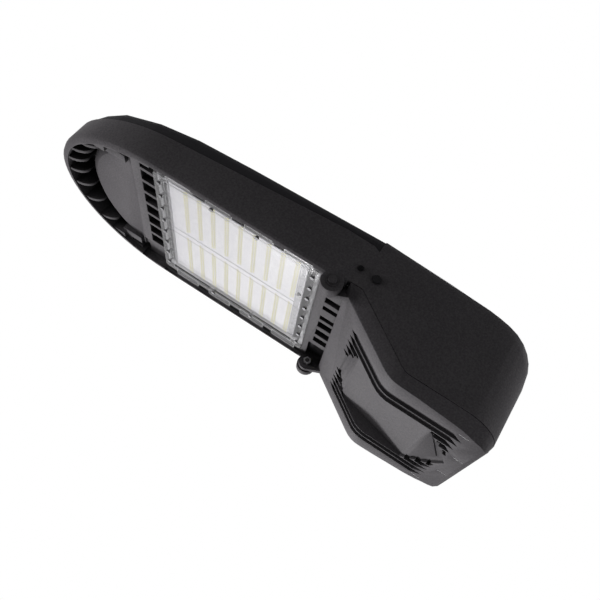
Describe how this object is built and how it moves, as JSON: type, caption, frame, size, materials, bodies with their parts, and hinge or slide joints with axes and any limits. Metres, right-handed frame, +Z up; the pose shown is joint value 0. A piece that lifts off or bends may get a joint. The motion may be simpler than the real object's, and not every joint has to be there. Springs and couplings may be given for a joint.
{
  "type": "led street-lamp luminaire",
  "caption": "Cobra-head style LED luminaire with a finned cast body, a flat lens, a hinged driver cover and a pole socket at the rear.",
  "frame": {"origin": "centre of the pole socket's mouth in the rear face", "axes": "+X out of the socket, along the body, with the nose towards -X; +Z up, the light shines towards -Z; +Y to the side away from the picture's viewer"},
  "size_m": [0.665, 0.2724, 0.1465],
  "materials": {
    "powder_coat": "die-cast, fine textured dark grey powder coat",
    "clear_lens": "clear",
    "seal": "matte",
    "board": "white solder mask",
    "led": "pale yellow phosphor",
    "steel": "zinc plated",
    "dark_steel": "black oxide",
    "driver_case": "satin",
    "grey_plastic": "satin",
    "black_plastic": "satin",
    "brass": "bright",
    "cable": "matte"
  },
  "bodies": {
    "fixture": {"housing": "powder_coat", "lens_plate": "clear_lens", "lens_gasket": "seal", "lens_screws": "steel", "led_board_near": "board", "led_board_far": "board", "led_chips_near": "led", "led_chips_far": "led", "cover_gasket": "seal", "hinge_bolts": "dark_steel", "hinge_nuts": "steel", "cover_clips": "steel", "clip_screws": "steel", "led_driver": "driver_case", "driver_screws": "steel", "surge_protector": "black_plastic", "surge_screws": "steel", "terminal_block": "grey_plastic", "terminal_screws": "steel", "earth_screw": "brass", "cable_gland": "black_plastic", "gland_nut": "black_plastic", "pole_clamp_bolts": "steel", "pole_clamp_nuts": "steel", "vent_plug": "black_plastic", "side_screws": "dark_steel", "led_lead": "cable", "mains_lead": "cable", "driver_leads": "cable"},
    "cover": {"driver_cover": "powder_coat"}
  },
  "joints": [
    {"name": "cover_hinge", "type": "hinge", "parent": "fixture", "child": "cover", "pos_m": [-0.241, 0, -0.012], "axis": [0, 1, 0], "range_deg": [0, 75]}
  ]
}
